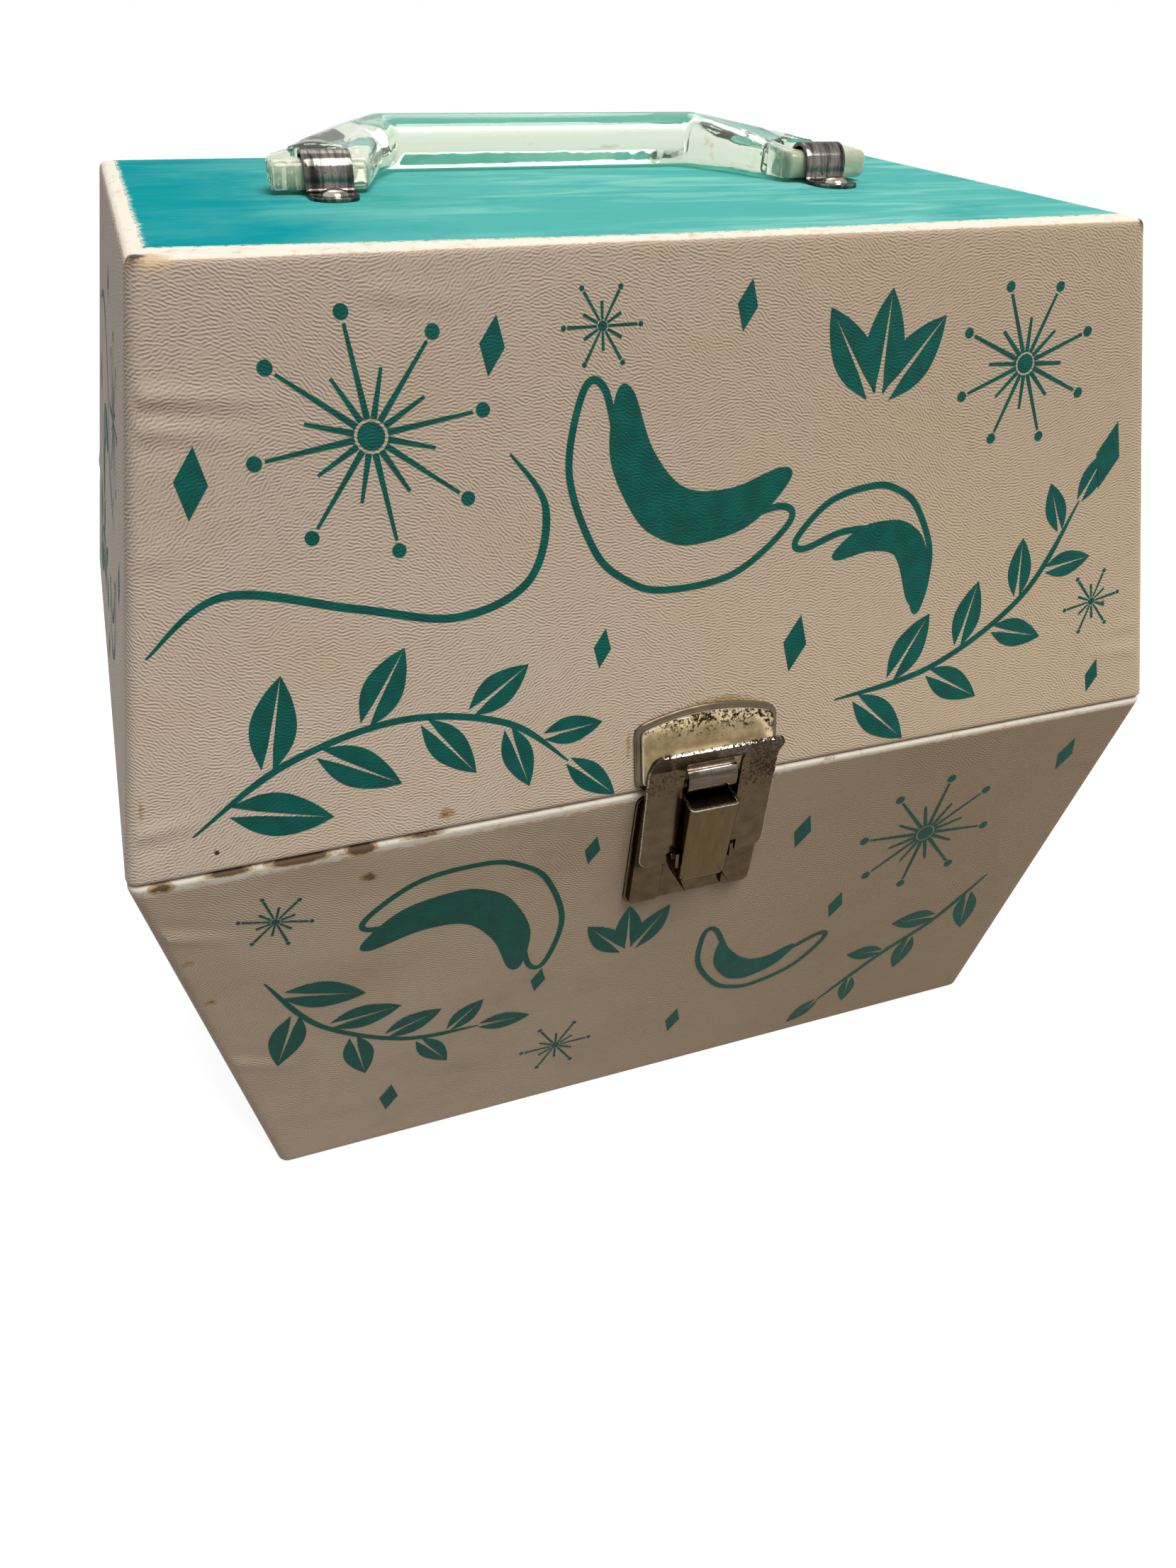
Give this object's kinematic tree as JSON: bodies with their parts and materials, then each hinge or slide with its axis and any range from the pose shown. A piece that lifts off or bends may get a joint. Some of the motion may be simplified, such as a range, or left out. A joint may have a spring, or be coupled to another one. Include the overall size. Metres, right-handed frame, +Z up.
{
  "type": "record carrying case",
  "caption": "Carrying case for seven-inch records: two tapered halves hinged at the back, with a front latch and a clear folding handle.",
  "frame": {"origin": "centre of the underside, on the surface that the case stands on", "axes": "+Z up, the latch faces -Y, the width runs along X"},
  "size_m": [0.23, 0.1682, 0.2156],
  "materials": {
    "leatherette": "embossed cream paper, satin",
    "turquoise_paper": "glossy, worn",
    "board": "matte",
    "lining_paper": "matte",
    "nickel": "worn nickel plate, spotted",
    "steel": "plain",
    "clear_plastic": "clear moulded plastic"
  },
  "bodies": {
    "base": {"base_bottom_board": "board", "base_front_board": "board", "base_back_board": "board", "base_left_board": "board", "base_right_board": "board", "base_cover": "leatherette", "bottom_sheet": "lining_paper", "base_lining": "lining_paper", "collar_front": "lining_paper", "collar_left": "lining_paper", "collar_right": "lining_paper", "latch_base_plate": "nickel", "latch_housing": "nickel", "latch_pin": "steel", "latch_spring": "steel", "latch_rivets": "nickel", "left_hinge_base_leaf": "nickel", "right_hinge_base_leaf": "nickel", "left_hinge_pin": "steel", "right_hinge_pin": "steel", "base_hinge_rivets": "nickel"},
    "lid": {"lid_top_board": "board", "lid_front_board": "board", "lid_back_board": "board", "lid_left_board": "board", "lid_right_board": "board", "lid_cover": "leatherette", "top_sheet": "turquoise_paper", "lid_lining": "lining_paper", "strike_plate": "nickel", "left_clip": "nickel", "right_clip": "nickel", "clip_rivets": "nickel", "clip_washers": "nickel", "left_hinge_lid_leaf": "nickel", "right_hinge_lid_leaf": "nickel", "lid_hinge_rivets": "nickel"},
    "latch_lever": {"latch_lever": "nickel"},
    "handle": {"handle": "clear_plastic"}
  },
  "joints": [
    {"name": "lid_hinge", "type": "hinge", "parent": "base", "child": "lid", "pos_m": [0, 0.0806, 0.10215], "axis": [-1, 0, 0], "range_deg": [0, 160]},
    {"name": "latch_pivot", "type": "hinge", "parent": "base", "child": "latch_lever", "pos_m": [0, -0.07887, 0.0845], "axis": [1, 0, 0], "range_deg": [0, 40], "stiffness_Nm_per_rad": 0.02},
    {"name": "handle_swing", "type": "hinge", "parent": "lid", "child": "handle", "pos_m": [0, 0, 0.20781], "axis": [1, 0, 0], "range_deg": [0, 171.6]}
  ]
}
